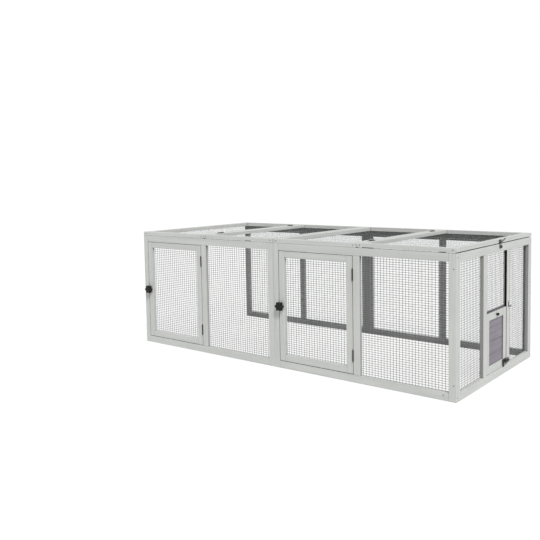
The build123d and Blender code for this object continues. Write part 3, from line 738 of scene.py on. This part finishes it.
def frame_screws():
    """Wood screws of the fixed frame."""
    half = TIMBER / 2
    quarter = half / 2
    post_x = END_FACE - half + half / 4
    edge_z = (WALL_TOP + ROOF_TOP) / 2
    sides = (quarter, BACK_FACE - quarter)
    places = [((post_x, 0, z), FRONT) for z in SCREW_Z]
    places += [((post_x, BACK_FACE, z), BACK) for z in SCREW_Z]
    places += [(RAIL_SCREW, FRONT)]
    places += [((END_FACE, y, z), RIGHT) for y in sides for z in (half, WALL_TOP - half)]
    for x in (half, PANEL - half, 2 * PANEL + half, 3 * PANEL - half):
        places += [((x, 0, edge_z), FRONT), ((x, BACK_FACE, edge_z), BACK)]
    places += [((SECTION - TIMBER, y, z), LEFT) for y in sides for z in SECTION_SCREW_Z]
    heads("frame_screw_heads", "run_frame", places, SCREW_R, replaces=("frame_screws",))


def lid_screws(number):
    """Wood screws of one lid, and the screws of its hinges."""
    left, right = (number - 1) * PANEL, number * PANEL
    lid_z = (LID_UNDERSIDE + ROOF_TOP) / 2
    ends = (left + TIMBER / 2, right - TIMBER / 2)
    places = [((x, y, lid_z), out) for x in ends for y, out in ((0, FRONT), (BACK_FACE, BACK))]
    heads(f"lid_{number}_screw_heads", f"lid_{number}", places, SCREW_R)
    spots = [(y + step, ROOF_TOP + PLATE) for y in LID_HINGE_Y for step in LEAF_SCREW_STEPS]
    places = [((left - LEAF_SCREW_OUT, *spot), UP) for spot in spots]
    heads(f"lid_{number}_roof_leaf_screws", "run_frame", places, SMALL_R)
    places = [((left + LEAF_SCREW_OUT, *spot), UP) for spot in spots]
    heads(f"lid_{number}_leaf_screws", f"lid_{number}", places, SMALL_R)


def all_screws():
    """Wood screws in the frames, and small ones in the fittings."""
    frame_screws()
    for number in (2, 4):
        lid_screws(number)
    plate = END_FACE + PLATE
    places = [((plate, HASP_Y + step, HASP_SCREW_Z), RIGHT) for step in HASP_SCREW_STEPS]
    heads("hasp_plate_screws", "lid_4", places, SMALL_R)
    places = [((plate, HASP_Y + step, STAPLE_Z + step / 2), RIGHT) for step in HASP_SCREW_STEPS]
    heads("staple_screws", "run_frame", places, STAPLE_SCREW_R)
    heads("keeper_screws", "run_frame", [((plate, *spot), RIGHT) for spot in KEEPER_SCREWS], BOLT_SCREW_R)
    door_plate = END_FACE - POP_DOOR_BACK + PLATE
    places = [((door_plate, y, z), RIGHT) for y in BOLT_SCREW_Y for z in BOLT_SCREW_Z]
    heads("bolt_base_screws", "pop_door", places, BOLT_SCREW_R)


# Stage and light
WHITE = (1, 1, 1, 1)
FLOOR_GREY = (0.8, 0.8, 0.8, 1)
FLOOR_HALF = 20.0
FLOOR_Z = -0.6 * MM
FLOOR_GLOW = 1.04
FLOOR_WHITENESS = 0.86
SUN_FROM = Vector((0.52, -0.39, 0.77))
SUN_STRENGTH = 2.7
SUN_WIDE = math.radians(14)
SKY_STRENGTH = 0.50


def seen_rays(tree):
    """1 for rays that show the background itself, also in gloss and through clear pieces."""
    path = tree.nodes.new("ShaderNodeLightPath").outputs
    seen = maths(tree, "MAXIMUM", path["Is Camera Ray"], path["Is Glossy Ray"])
    return maths(tree, "MAXIMUM", seen, path["Is Transmission Ray"])


def make_stage():
    """White floor that keeps a soft shadow."""
    floor_data = bpy.data.meshes.new("floor")
    ends = ((-1, -1), (1, -1), (1, 1), (-1, 1))
    floor_data.from_pydata([(x * FLOOR_HALF, y * FLOOR_HALF, FLOOR_Z) for x, y in ends], [], [(0, 1, 2, 3)])
    floor = bpy.data.objects.new("floor", floor_data)
    bpy.context.scene.collection.objects.link(floor)
    made, tree, shader = new_material("floor_white")
    shader.inputs["Base Color"].default_value = FLOOR_GREY
    shader.inputs["Roughness"].default_value = 0.9
    glow = add(tree, "ShaderNodeEmission", Color=WHITE, Strength=FLOOR_GLOW)
    mix = add(tree, "ShaderNodeMixShader")
    connect(tree, maths(tree, "MULTIPLY", seen_rays(tree), FLOOR_WHITENESS), mix.inputs[0])
    tree.links.new(shader.outputs[0], mix.inputs[1])
    tree.links.new(glow.outputs[0], mix.inputs[2])
    tree.links.new(mix.outputs[0], tree.nodes["Material Output"].inputs["Surface"])
    floor_data.materials.append(made)


def make_light():
    """Even white sky, and a broad sun from the front right."""
    world = bpy.data.worlds.new("studio")
    bpy.context.scene.world = world
    world.use_nodes = True
    tree = world.node_tree
    back = tree.nodes["Background"]
    back.inputs["Color"].default_value = WHITE
    connect(tree, ranged(tree, seen_rays(tree), 0.0, 1.0, SKY_STRENGTH, 1.0), back.inputs["Strength"])
    data = bpy.data.lights.new("sun", "SUN")
    data.energy = SUN_STRENGTH
    data.angle = SUN_WIDE
    sun = bpy.data.objects.new("sun", data)
    sun.rotation_euler = SUN_FROM.to_track_quat("Z", "Y").to_euler()
    bpy.context.scene.collection.objects.link(sun)


make_camera()
make_stage()
make_light()
dress_frame()
all_meshes()
all_screws()
bpy.context.scene.view_settings.view_transform = "Standard"
